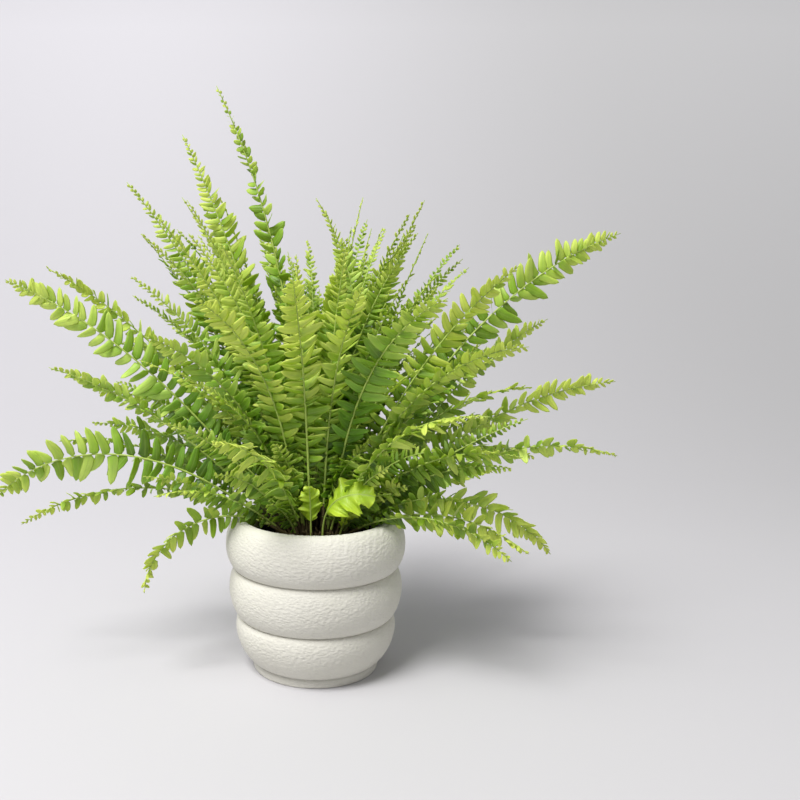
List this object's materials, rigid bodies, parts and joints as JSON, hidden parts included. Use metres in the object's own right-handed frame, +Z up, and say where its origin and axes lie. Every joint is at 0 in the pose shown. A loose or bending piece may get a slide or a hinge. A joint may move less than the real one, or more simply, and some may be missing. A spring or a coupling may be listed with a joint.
{
  "type": "potted fern",
  "caption": "Sword fern with upright, arching and trailing pinnate fronds, growing in a matt ceramic pot of stacked round rings.",
  "frame": {"origin": "centre of the ceramic pot's flat base, on the surface it stands on", "axes": "+Z up along the pot's axis, -Y towards the front of the plant, +X to its right as seen from the front"},
  "size_m": [0.5288, 0.3686, 0.4925],
  "materials": {
    "matt_ceramic": "matte",
    "grow_pot_plastic": "satin",
    "soil": "matte",
    "rhizome": "matte",
    "upright_leaf": "satin",
    "arching_leaf": "satin",
    "trailing_leaf": "satin",
    "young_leaf": "satin"
  },
  "bodies": {
    "root": {"ceramic_pot": "matt_ceramic", "nursery_pot": "grow_pot_plastic", "potting_soil": "soil", "crown": "rhizome", "upright_frond_01": "upright_leaf", "upright_frond_02": "upright_leaf", "upright_frond_03": "upright_leaf", "upright_frond_04": "upright_leaf", "upright_frond_05": "upright_leaf", "upright_frond_06": "upright_leaf", "upright_frond_07": "upright_leaf", "upright_frond_08": "upright_leaf", "upright_frond_09": "upright_leaf", "upright_frond_10": "upright_leaf", "upright_frond_11": "upright_leaf", "upright_frond_12": "upright_leaf", "upright_frond_13": "upright_leaf", "upright_frond_14": "upright_leaf", "upright_frond_15": "upright_leaf", "upright_frond_16": "upright_leaf", "upright_frond_17": "upright_leaf", "arching_frond_01": "arching_leaf", "arching_frond_02": "arching_leaf", "arching_frond_03": "arching_leaf", "arching_frond_04": "arching_leaf", "arching_frond_05": "arching_leaf", "arching_frond_06": "arching_leaf", "arching_frond_07": "arching_leaf", "arching_frond_08": "arching_leaf", "arching_frond_09": "arching_leaf", "arching_frond_10": "arching_leaf", "arching_frond_11": "arching_leaf", "arching_frond_12": "arching_leaf", "arching_frond_13": "arching_leaf", "arching_frond_14": "arching_leaf", "arching_frond_15": "arching_leaf", "arching_frond_16": "arching_leaf", "arching_frond_17": "arching_leaf", "arching_frond_18": "arching_leaf", "arching_frond_19": "arching_leaf", "arching_frond_20": "arching_leaf", "arching_frond_21": "arching_leaf", "arching_frond_22": "arching_leaf", "arching_frond_23": "arching_leaf", "arching_frond_24": "arching_leaf", "trailing_frond_01": "trailing_leaf", "trailing_frond_02": "trailing_leaf", "trailing_frond_03": "trailing_leaf", "trailing_frond_04": "trailing_leaf", "trailing_frond_05": "trailing_leaf", "trailing_frond_06": "trailing_leaf", "trailing_frond_07": "trailing_leaf", "trailing_frond_08": "trailing_leaf", "trailing_frond_09": "trailing_leaf", "trailing_frond_10": "trailing_leaf", "trailing_frond_11": "trailing_leaf", "young_frond_01": "young_leaf", "young_frond_02": "young_leaf", "young_frond_03": "young_leaf"}
  },
  "joints": []
}
